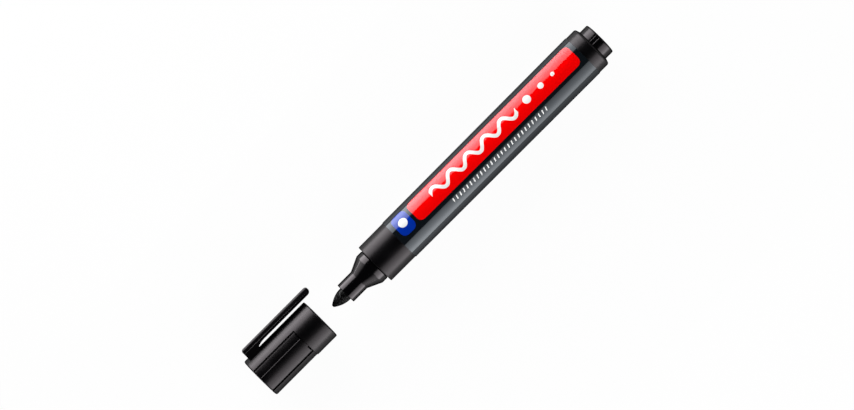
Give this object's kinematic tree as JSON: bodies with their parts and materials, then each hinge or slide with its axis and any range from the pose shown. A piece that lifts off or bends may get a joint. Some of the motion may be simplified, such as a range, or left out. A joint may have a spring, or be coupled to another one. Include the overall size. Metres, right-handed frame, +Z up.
{
  "type": "permanent marker",
  "caption": "Round felt-tipped marker lying on its side, with its clip cap drawn off in line with the nib; the cap slides on and the clip flexes.",
  "frame": {"origin": "centre of the bounding box's underside, on the surface that the marker lies on", "axes": "+X along the marker's axis toward the tail plug, so the nib and the cap point to -X; +Y toward the clip; +Z up from the surface"},
  "size_m": [0.1606, 0.0194, 0.0163],
  "materials": {
    "satin_plastic": "moulded polypropylene, satin black",
    "gloss_plastic": "moulded polypropylene, polished black",
    "printed_film": "glossy printed film, black with a red panel",
    "nib_fibre": "pressed polyester fibre soaked with black ink",
    "ink_fibre": "bundled polyester fibre soaked with ink",
    "clear_film": "thin clear film",
    "seal_plastic": "soft polyethylene, dark grey"
  },
  "bodies": {
    "barrel": {"barrel": "satin_plastic", "barrel_label": "printed_film", "nozzle": "gloss_plastic", "nib": "nib_fibre", "ink_reservoir": "ink_fibre", "reservoir_wrap": "clear_film", "tail_plug": "gloss_plastic"},
    "cap": {"cap": "satin_plastic", "cap_inner_seal": "seal_plastic"},
    "clip": {"cap_clip": "satin_plastic"}
  },
  "joints": [
    {"name": "cap_slide", "type": "slide", "parent": "barrel", "child": "cap", "axis": [1, 0, 0], "range_m": [0, 0.02555]},
    {"name": "clip_flex", "type": "hinge", "parent": "cap", "child": "clip", "pos_m": [-0.07312, 0.00838, 0.00815], "axis": [0, 0, 1], "range_deg": [0, 5], "stiffness_Nm_per_rad": 1.2}
  ]
}
